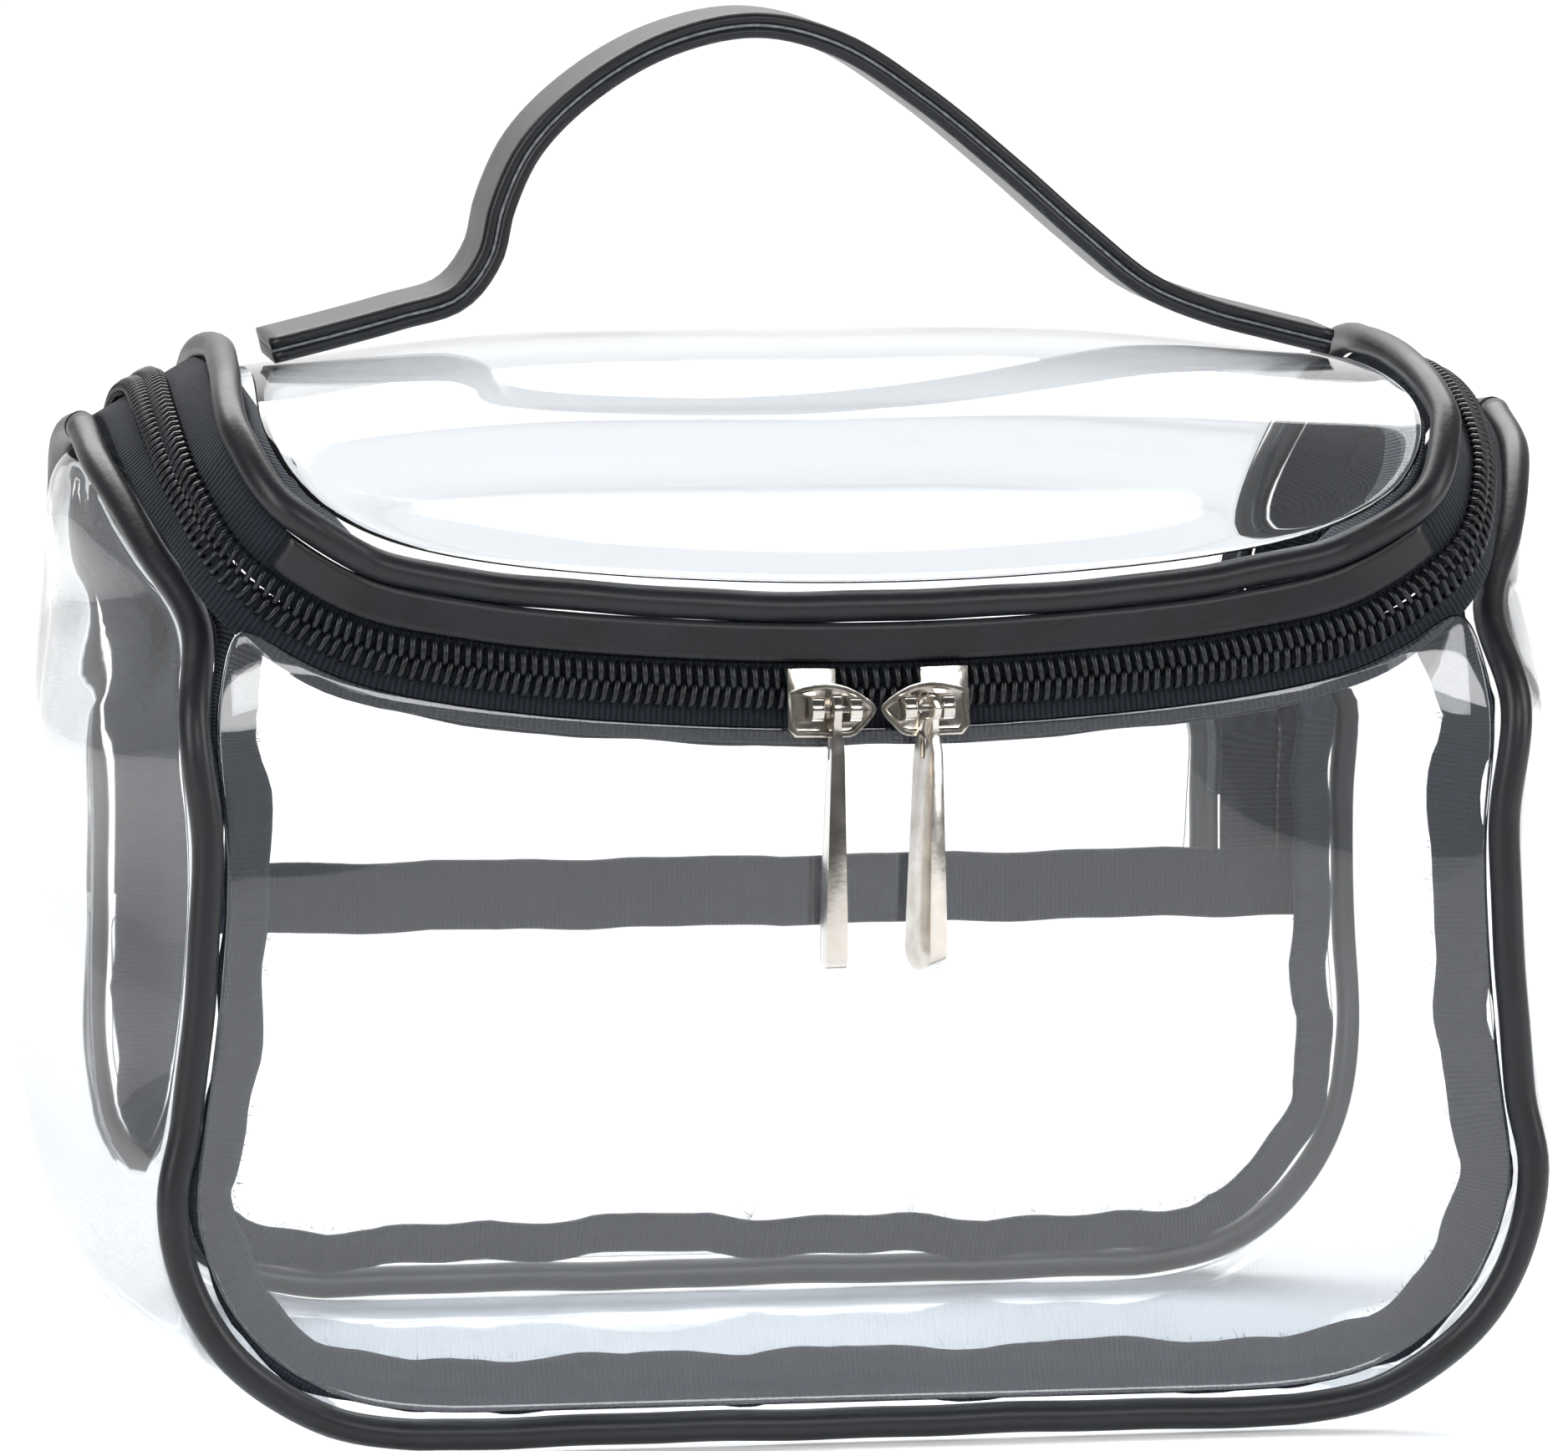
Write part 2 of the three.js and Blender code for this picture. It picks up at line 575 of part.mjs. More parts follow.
function addHandle() {
  const path = new TrimPath(STRAP_SPINE.map(([x, z]) => ({ point: vec(x, 0, z), across: vec(0, 1, 0) })));
  const half = STRAP_WIDTH / 2;
  const moving = roundCut(half + GAP / 4, 0);
  const cleared = roundCut(half + STRAP_CLEAR, -STRAP_CLEAR);
  const width = 4 * FRONT_WIDTH;
  const sides = { left: box(width, width, width, -width / 2, 0), right: box(width, width, width, width / 2, 0) };
  const layers = { outer: [GAP / 2, GAP / 2 + STRAP_LAYER], inner: [-GAP / 2 - STRAP_LAYER, -GAP / 2] };
  for (const [layer, [out0, out1]] of Object.entries(layers)) {
    const strap = toManifold(sweep(path, strip(-half, half, out0, out1), STRAP_STEPS));
    addPart(`handle_arch_${layer}`, fromManifold(strap.intersect(moving)), 'blackPu');
    for (const [side, region] of Object.entries(sides)) {
      const end = strap.subtract(cleared).intersect(region);
      addPart(`handle_${side}_end_${layer}`, fromManifold(end), 'blackPu');
    }
  }
}
addHandle();

// ---- sliders: a shield plate, a bail of two lugs and a pin on it, and a bar pull that hangs from the pin
const PLATE_OUT = coilTop + GAP;
const BAIL_OUT = PLATE_OUT + SLIDER_PLATE + PULL_RING + 2 * GAP;
const PULL_WAIST = -SLIDER_HEIGHT / 2 - 0.5;

// the plate hangs a little below the coils; a crown block at its blunt end bridges back over them
function sliderPlate(nose) {
  const half = SLIDER_HEIGHT / 2;
  const rear = SLIDER_LENGTH / 2;
  const shape = new THREE.Shape();
  shape.moveTo(-rear, -half * 0.7);
  shape.lineTo(-rear, half * 0.62);
  shape.quadraticCurveTo(-0.5, half * 1.2, rear * 0.55, half * 0.62);
  shape.quadraticCurveTo(rear, half * 0.2, rear, 0);
  shape.quadraticCurveTo(rear, -half * 0.2, rear * 0.62, -half * 0.78);
  shape.quadraticCurveTo(rear * 0.5, -half, rear * 0.3, -half);
  shape.lineTo(1.2 - rear, -half);
  shape.lineTo(-rear, -half * 0.7);
  const plate = new THREE.ExtrudeGeometry(shape, {
    depth: SLIDER_PLATE, bevelEnabled: false, curveSegments: 6,
  });
  const height = CROWN_TOP + SLIDER_DROP - half * 0.3;
  const crown = new THREE.BoxGeometry(CROWN_LENGTH, height, SLIDER_PLATE - GAP);
  const [x, y] = [CROWN_LENGTH / 2 - rear, CROWN_TOP + SLIDER_DROP - height / 2];
  crown.translate(x, y, (SLIDER_PLATE - GAP) / 2);
  const geometry = fromManifold(toManifold(plate).add(toManifold(crown)));
  geometry.translate(0, -SLIDER_DROP, PLATE_OUT);
  if (nose > 0) return geometry;
  geometry.scale(-1, 1, 1);
  geometry.setIndex(Array.from(geometry.index.array).reverse());
  return geometry;
}

// two round lugs with a pin between them for the pull's eye
function sliderBail() {
  const foot = PLATE_OUT + SLIDER_PLATE + GAP;
  const shape = new THREE.Shape();
  shape.moveTo(-LUG_RADIUS, foot);
  shape.lineTo(LUG_RADIUS, foot);
  shape.lineTo(LUG_RADIUS, BAIL_OUT);
  shape.absarc(0, BAIL_OUT, LUG_RADIUS, 0, Math.PI, false);
  const turn = new THREE.Matrix4().makeBasis(vec(0, 1, 0), vec(0, 0, 1), vec(1, 0, 0));
  const outer = LUG_INNER + LUG_WIDTH;
  const pin = new THREE.BoxGeometry(2 * outer - GAP, BAIL_PIN, BAIL_PIN);
  let solid = toManifold(pin.translate(0, 0, BAIL_OUT));
  for (const start of [LUG_INNER, -outer]) {
    const lug = new THREE.ExtrudeGeometry(shape, { depth: LUG_WIDTH, bevelEnabled: false, curveSegments: 10 });
    solid = solid.add(toManifold(lug.applyMatrix4(turn).translate(start, 0, 0)));
  }
  return fromManifold(solid).translate(0, -SLIDER_DROP, 0);
}

// face outline in the plane of the pull, and its wedge-shaped side view
function pullFace() {
  const half = PULL_WIDTH / 2;
  const neck = PULL_RING * 0.74;
  const waist = PULL_WAIST;
  const shape = new THREE.Shape();
  shape.moveTo(-neck, -PULL_RING * 0.67);
  shape.lineTo(-neck, waist);
  shape.lineTo(-half * 0.74, waist - 2);
  shape.lineTo(-half, half - PULL_LENGTH);
  shape.absarc(0, half - PULL_LENGTH, half, Math.PI, 2 * Math.PI, false);
  shape.lineTo(half * 0.74, waist - 2);
  shape.lineTo(neck, waist);
  shape.lineTo(neck, -PULL_RING * 0.67);
  shape.absarc(0, 0, PULL_RING, -0.73, Math.PI + 0.73, false);
  const eye = new THREE.Path();
  eye.absarc(0, 0, PULL_HOLE, 0, 2 * Math.PI, true);
  const slot = new THREE.Path();
  const slotTop = waist + 0.2;
  const slotHalf = 0.65;
  slot.moveTo(-slotHalf, slotTop);
  slot.lineTo(slotHalf, slotTop);
  slot.lineTo(slotHalf, slotTop - 3.2);
  slot.lineTo(-slotHalf, slotTop - 3.2);
  shape.holes.push(eye, slot);
  const depth = PULL_THICKNESS + 2;
  const geometry = new THREE.ExtrudeGeometry(shape, { depth, bevelEnabled: false, curveSegments: 8 });
  geometry.rotateX(Math.PI / 2);
  geometry.rotateZ(Math.PI / 2);
  geometry.translate(-depth / 2, 0, 0);
  return geometry;
}

function pullSide() {
  const ring = 0.6;
  const reach = PULL_WIDTH + 2;
  const shape = new THREE.Shape();
  const waist = PULL_WAIST;
  shape.moveTo(-ring, PULL_RING + 1);
  shape.lineTo(-ring, -PULL_RING - 0.5);
  shape.lineTo(-1, waist);
  shape.lineTo(-PULL_THICKNESS / 2, -PULL_LENGTH * 0.8);
  shape.lineTo(-PULL_THICKNESS / 2, -PULL_LENGTH - 1);
  shape.lineTo(PULL_THICKNESS / 2, -PULL_LENGTH - 1);
  shape.lineTo(PULL_THICKNESS / 2, -PULL_LENGTH * 0.8);
  shape.lineTo(1, waist);
  shape.lineTo(ring, -PULL_RING - 0.5);
  shape.lineTo(ring, PULL_RING + 1);
  const geometry = new THREE.ExtrudeGeometry(shape, { depth: reach * 2, bevelEnabled: false });
  geometry.rotateX(Math.PI / 2);
  geometry.translate(0, reach, 0);
  return geometry;
}

function addSlider(side, nose, turn) {
  const place = frontArc(ZIP_MEET - nose * (SLIDER_LENGTH / 2 + GAP));
  const matrix = new THREE.Matrix4().makeBasis(place.tangent, place.across, place.out);
  matrix.setPosition(place.point);
  const seat = new THREE.Group();
  seat.applyMatrix4(matrix);
  bag.add(seat);
  addPart(`${side}_slider_plate`, sliderPlate(nose), 'nickel', seat);
  addPart(`${side}_slider_bail`, sliderBail(), 'nickel', seat);

  const hanger = new THREE.Group();
  hanger.position.copy(place.point).addScaledVector(place.across, -SLIDER_DROP);
  hanger.position.addScaledVector(place.out, BAIL_OUT);
  hanger.rotation.z = turn;
  bag.add(hanger);
  const pull = toManifold(pullFace()).intersect(toManifold(pullSide()));
  addPart(`${side}_pull`, fromManifold(pull), 'nickel', hanger);
}
addSlider('left', 1, 0);
addSlider('right', -1, RIGHT_PULL_TURN);

export default bag;
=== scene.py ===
import math
import random

import bmesh
import bpy
from mathutils import Matrix, Vector


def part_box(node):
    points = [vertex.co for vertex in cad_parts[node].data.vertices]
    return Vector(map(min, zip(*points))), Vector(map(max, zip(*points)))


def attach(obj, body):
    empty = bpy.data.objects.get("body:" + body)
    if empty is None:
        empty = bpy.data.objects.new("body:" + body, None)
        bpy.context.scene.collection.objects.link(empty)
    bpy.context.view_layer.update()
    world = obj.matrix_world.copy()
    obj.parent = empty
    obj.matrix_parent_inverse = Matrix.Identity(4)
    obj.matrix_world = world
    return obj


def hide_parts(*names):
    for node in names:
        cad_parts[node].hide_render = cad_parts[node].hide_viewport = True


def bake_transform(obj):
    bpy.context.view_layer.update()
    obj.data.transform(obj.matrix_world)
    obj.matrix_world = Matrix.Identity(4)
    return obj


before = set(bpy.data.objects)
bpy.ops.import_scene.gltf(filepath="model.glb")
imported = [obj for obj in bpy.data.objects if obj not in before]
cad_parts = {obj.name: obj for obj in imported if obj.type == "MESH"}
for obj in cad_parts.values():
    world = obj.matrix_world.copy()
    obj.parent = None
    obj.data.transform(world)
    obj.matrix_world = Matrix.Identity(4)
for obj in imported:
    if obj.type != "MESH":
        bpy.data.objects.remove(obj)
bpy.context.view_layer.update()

random.seed(7)
MM = 0.001

# ---- sizes in millimetres, as in the solids
ZIP_HEIGHT = 118.8
ZIP_FRONT = -60.0
ZIP_BACK = 65.3
ZIP_ARC_RADIUS = 450.0
ZIP_ARC_HALF = 62.0
SHOULDER_HEIGHT = 160.5
SHOULDER_HALF = 105.5
HINGE_HEIGHT = 67.5
HINGE_HALF = 96.0
FRONT_WIDTH = 217.0
WAIST_WIDTH = 206.0
BACK_WIDTH = 216.6
BASE_DEPTH = 130.0
BACK_FOOT = 0.86
CORNER_RADIUS = 38.0
PIPING_RADIUS = 2.5
BEAD_FLOOR = 2.8
BEAD_OFFSET = 12.75
SEAM_OFFSET = 12.05
COIL_PITCH = 1.75
UPPER_OUTER = 9.65
LOWER_OUTER = 8.65
CORNER_STATION = 3.8
STRAP_HALF = 10.0
STRAP_LAYER = 1.9
STRAP_GAP = 0.15
TAPE_START = 3.8
FRONT_LEAN = math.radians(7)

# ---- detail that the solids leave out
SHEET_SMOOTHING = 2
WIRE_RADIUS = 0.42
WIRE_WIDENING = 1.25
THREAD_CORNERS = (0, 2.094, 4.189)


# ---- paths
def smooth_line(points, t):
    """A centripetal spline through the points."""
    count = len(points)
    place = (count - 1) * t
    i = min(int(place), count - 2)
    weight = place - i
    p1, p2 = points[i], points[i + 1]
    p0 = points[i - 1] if i > 0 else p1 * 2 - p2
    p3 = points[i + 2] if i + 2 < count else p2 * 2 - p1
    d0 = (p0 - p1).length_squared ** 0.25
    d1 = (p1 - p2).length_squared ** 0.25
    d2 = (p2 - p3).length_squared ** 0.25
    d0, d2 = d0 or d1, d2 or d1
    m1 = ((p1 - p0) / d0 - (p2 - p0) / (d0 + d1) + (p2 - p1) / d1) * d1
    m2 = ((p2 - p1) / d1 - (p3 - p1) / (d1 + d2) + (p3 - p2) / d2) * d1
    w2, w3 = weight * weight, weight ** 3
    return (p1 * (2 * w3 - 3 * w2 + 1) + m1 * (w3 - 2 * w2 + weight)
            + p2 * (3 * w2 - 2 * w3) + m2 * (w3 - w2))


class Path:
    """A line through stations, each with a direction across the trim that follows it."""

    def __init__(self, stations, floor=-1e9):
        self.points = [Vector(s[0]) for s in stations]
        self.acrosses = [Vector(s[1]) for s in stations]
        self.floor = floor
        self.steps = 1200
        self.lengths = [0.0]
        last = self.point(0)
        for k in range(1, self.steps + 1):
            here = self.point(k / self.steps)
            self.lengths.append(self.lengths[-1] + (here - last).length)
            last = here

    def point(self, t):
        p = smooth_line(self.points, min(max(t, 0.0), 1.0))
        p.z = max(p.z, self.floor)
        return p

    def frame(self, t):
        t0, t1 = max(t - 1e-4, 0.0), min(t + 1e-4, 1.0)
        tangent = (self.point(t1) - self.point(t0)).normalized()
        place = min(max(t, 0.0), 1.0) * (len(self.acrosses) - 1)
        i = min(int(place), len(self.acrosses) - 2)
        across = self.acrosses[i].lerp(self.acrosses[i + 1], place - i)
        across = (across - tangent * across.dot(tangent)).normalized()
        return self.point(t), tangent, across, tangent.cross(across)

    def at_length(self, length):
        lo, hi = 0, self.steps
        while hi - lo > 1:
            mid = (lo + hi) // 2
            if self.lengths[mid] < length:
                lo = mid
            else:
                hi = mid
        span = self.lengths[hi] - self.lengths[lo] or 1.0
        return (lo + (length - self.lengths[lo]) / span) / self.steps

    def length_at(self, t):
        place = min(max(t, 0.0), 1.0) * self.steps
        i = min(int(place), self.steps - 1)
        return self.lengths[i] + (self.lengths[i + 1] - self.lengths[i]) * (place - i)

    def offset(self, t, across, out=0.0):
        point, _, side, outward = self.frame(t)
        return point + side * across + outward * out


def arc_rise(x):
    return ZIP_ARC_RADIUS - math.sqrt(ZIP_ARC_RADIUS ** 2 - x ** 2)


def front_arc(distance):
    a = distance / ZIP_ARC_RADIUS
    x = ZIP_ARC_RADIUS * math.sin(a)
    across = Vector((0, math.sin(FRONT_LEAN), math.cos(FRONT_LEAN)))
    across.rotate(Matrix.Rotation(-a, 3, "Y"))
    return Vector((x, ZIP_FRONT, ZIP_HEIGHT + arc_rise(x))), across


def mirrored(v):
    return Vector((-v[0], v[1], v[2]))


FRONT_CORNER = [
    (23.5, 0.972, 0.216, (-0.3, -0.02, 0.95)),
    (8.5, 0.9, 0.46, (-0.5, -0.35, 0.8)),
    (2.5, 0.7, 0.712, (-0.5, -0.4, 0.75)),
    (0, 0.367, 0.916, (-0.75, -0.2, 0.6)),
    (0, 0, 1, (-0.88, 0, 0.475)),
]
BACK_CORNER = [
    (-0.5, 0.352, 0.96, (-0.85, 0.15, 0.5)),
    (0.5, 0.672, 0.842, (-0.85, 0.35, 0.4)),
    (4, 0.896, 0.655, (-0.95, 0.2, 0.2)),
]
BACK_DROP = [(2, 0.984, 0.43), (0, 1, 0.226), (0, 1, 0.012)]


def zip_stations():
    half = [front_arc(ZIP_ARC_HALF * share) for share in (0.5, 1)]
    rise = SHOULDER_HEIGHT - ZIP_HEIGHT
    for inset, depth, up, across in FRONT_CORNER:
        half.append((Vector((SHOULDER_HALF - inset, ZIP_FRONT * depth, ZIP_HEIGHT + rise * up)), across))
    rise = SHOULDER_HEIGHT - HINGE_HEIGHT
    for inset, depth, up, across in BACK_CORNER:
        half.append((Vector((SHOULDER_HALF - inset, ZIP_BACK * depth, HINGE_HEIGHT + rise * up)), across))
    for inset, depth, up in BACK_DROP:
        half.append((Vector((HINGE_HALF + inset, ZIP_BACK * depth, HINGE_HEIGHT + rise * up)), (-1, 0, 0)))
    left = [(mirrored(p), mirrored(a)) for p, a in reversed(half)]
    return left + [front_arc(0)] + half


zip_line = Path(zip_stations())
ZIP_HALF_COUNT = 13


def zip_at(station):
    return 0.5 + station / (2 * ZIP_HALF_COUNT)


FRONT_LEG = [(2, 0.95, 0.86), (0, 0.982, 0.715), (1, 0.99, 0.55), (3.5, 0.985, 0.39)]
BACK_LEG = [(0, 0.985, 0.42)]


def seam_stations(side):
    """The gusset's seam: side -1 is the front one, +1 the back one."""
    end = side * BASE_DEPTH / 2
    stations = (7, 6, 5, 4) if side < 0 else (7, 8, 9, 10, 11, 12, 13)
    points = [zip_line.offset(zip_at(s), -SEAM_OFFSET) for s in stations]
    knee = BEAD_FLOOR + CORNER_RADIUS
    top = ZIP_HEIGHT + arc_rise(ZIP_ARC_HALF)
    for flare, depth, height in (FRONT_LEG if side < 0 else BACK_LEG):
        z = knee + (top - knee) * (height - 0.3) / 0.62
        half_width = (WAIST_WIDTH if side < 0 else BACK_WIDTH) / 2
        points.append(Vector((half_width + flare, end * depth, z)))
    half = [(p, Vector((1, 0, 0))) for p in points]
    foot = end * BACK_FOOT if side > 0 else end
    half.append((Vector((FRONT_WIDTH / 2, end + (foot - end) * 0.55, knee)), Vector((1, 0, 0))))
    turn_x = FRONT_WIDTH / 2 - CORNER_RADIUS
    for degrees in (22.5, 45, 67.5):
        a = math.radians(degrees)
        y = end + (foot - end) * (0.55 + 0.45 * math.sin(a))
        point = Vector((turn_x + CORNER_RADIUS * math.cos(a), y, knee - CORNER_RADIUS * math.sin(a)))
        half.append((point, Vector((math.cos(a), 0, -math.sin(a)))))
    for share in (1, 0.85, 0.6):
        half.append((Vector((turn_x * share, foot, BEAD_FLOOR)), Vector((0, 0, -1))))
    left = [(mirrored(p), mirrored(a)) for p, a in half]
    return left + [(Vector((0, foot, BEAD_FLOOR)), Vector((0, 0, -1)))] + half[::-1]


front_seam = Path(seam_stations(-1), BEAD_FLOOR)
back_seam = Path(seam_stations(1), BEAD_FLOOR)


# ---- meshes
def finish_mesh(name, mesh, material, body, replaced=(), smooth=True):
    obj = bpy.data.objects.new(name, mesh)
    bpy.context.scene.collection.objects.link(obj)
    mesh.materials.clear()
    mesh.materials.append(material)
    for polygon in mesh.polygons:
        polygon.use_smooth = smooth
    if body:
        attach(obj, body)
    if replaced:
        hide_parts(*replaced)
    return obj


def apply_modifiers(obj):
    bpy.ops.object.select_all(action="DESELECT")
    obj.select_set(True)
    bpy.context.view_layer.objects.active = obj
    for modifier in list(obj.modifiers):
        bpy.ops.object.modifier_apply(modifier=modifier.name)


def swept(name, path, t0, t1, section, step, material, body, replaced=(), wobble=None):
    """A closed section (across, out) carried along a path. Its UV map is in metres: along, around."""
    start, end = path.length_at(t0), path.length_at(t1)
    count = max(2, int((end - start) / step))
    around = [0.0]
    size = len(section)
    for k in range(size):
        a, b = section[k], section[(k + 1) % size]
        around.append(around[-1] + math.hypot(b[0] - a[0], b[1] - a[1]))
    bm = bmesh.new()
    rings = []
    places = []
    for i in range(count + 1):
        length = start + (end - start) * i / count
        point, _, across, out = path.frame(path.at_length(length))
        shift = wobble(length) if wobble else (0.0, 0.0)
        places.append(length)
        ring = []
        for x, y in section:
            ring.append(bm.verts.new((point + across * (x + shift[0]) + out * (y + shift[1])) * MM))
        rings.append(ring)
    uv = bm.loops.layers.uv.new("along")
    for i in range(count):
        for k in range(size):
            n = (k + 1) % size
            face = bm.faces.new((rings[i][k], rings[i][n], rings[i + 1][n], rings[i + 1][k]))
            corners = ((i, k), (i, k + 1), (i + 1, k + 1), (i + 1, k))
            for loop, (ring_no, spot) in zip(face.loops, corners):
                loop[uv].uv = (places[ring_no] * MM, around[spot] * MM)
    bm.faces.new(rings[0][::-1])
    bm.faces.new(rings[-1])
    bmesh.ops.recalc_face_normals(bm, faces=bm.faces)
    mesh = bpy.data.meshes.new(name)
    bm.to_mesh(mesh)
    bm.free()
    return finish_mesh(name, mesh, material, body, replaced)


def round_section(centre, radius, sides=20, flat=1.0):
    turns = [2 * math.pi * k / sides for k in range(sides)]
    return [(centre + radius * math.cos(a), radius * math.sin(a) * flat) for a in turns]


def strip_section(x0, x1, y0, y1, parts=6, edge=0.25):
    """A flat strip with eased edges; points along both faces so that it can wave."""
    xs = [x0 + edge + (x1 - x0 - 2 * edge) * k / parts for k in range(parts + 1)]
    middle = (y0 + y1) / 2
    low = [(x, y0) for x in xs]
    high = [(x, y1) for x in reversed(xs)]
    return low + [(x1, middle)] + high + [(x0, middle)]


def turned_section(section, angle, start):
    """A strip section that starts at a distance from the seam and leans at an angle."""
    c, s = math.cos(angle), math.sin(angle)
    return [((x + start) * c - y * s, (x + start) * s + y * c) for x, y in section]


def smoothed_copy(node, name, material, body):
    """A clear sheet: the solid's own shape, welded, made quads and smoothed."""
    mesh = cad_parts[node].data.copy()
    mesh.name = name
    bm = bmesh.new()
    bm.from_mesh(mesh)
    bmesh.ops.remove_doubles(bm, verts=bm.verts, dist=1e-5)
    bmesh.ops.join_triangles(bm, faces=bm.faces, angle_face_threshold=1.2, angle_shape_threshold=1.6)
    bm.to_mesh(mesh)
    bm.free()
    obj = finish_mesh(name, mesh, material, None)
    subdivision = obj.modifiers.new("smooth", "SUBSURF")
    subdivision.levels = subdivision.render_levels = SHEET_SMOOTHING
    apply_modifiers(obj)
    for polygon in obj.data.polygons:
        polygon.use_smooth = True
    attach(obj, body)
    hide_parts(node)
    return obj


# ---- materials
def linear(hex_colour):
    """sRGB hex to linear RGBA."""
    parts = [int(hex_colour[i:i + 2], 16) / 255 for i in (0, 2, 4)]
    return tuple(c / 12.92 if c <= 0.04045 else ((c + 0.055) / 1.055) ** 2.4 for c in parts) + (1.0,)


def add(tree, kind, settings=None, **links):
    """Adds a node; settings are properties or socket values, links are sockets to connect."""
    node = tree.nodes.new(kind)
    for key, value in (settings or {}).items():
        if isinstance(key, int) or key in node.inputs:
            node.inputs[key].default_value = value
        else:
            setattr(node, key, value)
    for key, socket in links.items():
        tree.links.new(socket, node.inputs[int(key[1:])] if key[0] == "i" and key[1:].isdigit()
                       else node.inputs[key.replace("_", " ")])
    return node


def new_material(name, **values):
    material = bpy.data.materials.new(name)
    material.use_nodes = True
    tree = material.node_tree
    shader = tree.nodes["Principled BSDF"]
    for key, value in values.items():
        shader.inputs[key.replace("_", " ")].default_value = value
    return material, tree, shader


def ramp(tree, socket, *stops):
    node = add(tree, "ShaderNodeValToRGB", {}, Fac=socket)
    elements = node.color_ramp.elements
    while len(elements) < len(stops):
        elements.new(0.5)
    for element, (place, colour) in zip(elements, stops):
        element.position = place
        element.color = colour
    return node.outputs["Color"]


def clear_pvc():
    """Plasticised PVC sheet, calendered and polished: glass-clear, with soft undulations that bend what
    its gloss mirrors far more than what is seen through it."""
    material, tree, shader = new_material(
        "clear_pvc_sheet", Base_Color=linear("f7f9fb"), Roughness=0.02, IOR=1.5, Transmission_Weight=1.0,
        Specular_IOR_Level=0.22, Coat_Weight=0.3, Coat_Roughness=0.02, Coat_IOR=1.5)
    place = add(tree, "ShaderNodeTexCoord").outputs["Object"]
    waves = add(tree, "ShaderNodeTexNoise", {"Scale": 17.0, "Detail": 1.5, "Roughness": 0.45}, Vector=place)
    ripple = add(tree, "ShaderNodeTexNoise", {"Scale": 55.0, "Detail": 1.0, "Roughness": 0.4}, Vector=place)
    bump = add(tree, "ShaderNodeBump", {"Strength": 0.6, "Distance": 0.003}, Height=waves.outputs["Fac"])
    fine = add(tree, "ShaderNodeBump", {"Strength": 0.3, "Distance": 0.0006}, Height=ripple.outputs["Fac"],
               Normal=bump.outputs["Normal"])
    tree.links.new(fine.outputs["Normal"], shader.inputs["Coat Normal"])
    gentle = add(tree, "ShaderNodeBump", {"Strength": 0.12, "Distance": 0.0012},
                 Height=waves.outputs["Fac"])
    tree.links.new(gentle.outputs["Normal"], shader.inputs["Normal"])
    clear = add(tree, "ShaderNodeBsdfTransparent", {"Color": linear("f4f6f8")})
    shadow = add(tree, "ShaderNodeLightPath").outputs["Is Shadow Ray"]
    mix = add(tree, "ShaderNodeMixShader", {}, Fac=shadow,
              i1=shader.outputs["BSDF"], i2=clear.outputs["BSDF"])
    tree.links.new(mix.outputs["Shader"], tree.nodes["Material Output"].inputs["Surface"])
    return material


def black_pu():
    """Imitation leather, PU coated and embossed: charcoal, satin, with a fine pebbled grain about 0.5 mm
    across and softer, paler rubbed spots."""
    material, tree, shader = new_material(
        "black_pu_leather", IOR=1.48, Specular_IOR_Level=0.42, Coat_Weight=0.2, Coat_Roughness=0.3)
    place = add(tree, "ShaderNodeTexCoord").outputs["Object"]
    grain = add(tree, "ShaderNodeTexVoronoi", {"Scale": 1500.0, "feature": "SMOOTH_F1"}, Vector=place)
    broad = add(tree, "ShaderNodeTexNoise", {"Scale": 120.0, "Detail": 4.0, "Roughness": 0.6}, Vector=place)
    colour = ramp(tree, broad.outputs["Fac"], (0.3, linear("0c0e12")), (0.7, linear("15181e")))
    tree.links.new(colour, shader.inputs["Base Color"])
    rough = add(tree, "ShaderNodeMapRange", {"To Min": 0.38, "To Max": 0.54}, Value=broad.outputs["Fac"])
    tree.links.new(rough.outputs["Result"], shader.inputs["Roughness"])
    bump = add(tree, "ShaderNodeBump", {"Strength": 0.3, "Distance": 0.00012},
               Height=grain.outputs["Distance"])
    soft = add(tree, "ShaderNodeBump", {"Strength": 0.35, "Distance": 0.0006}, Height=broad.outputs["Fac"],
               Normal=bump.outputs["Normal"])
    tree.links.new(soft.outputs["Normal"], shader.inputs["Normal"])
    return material


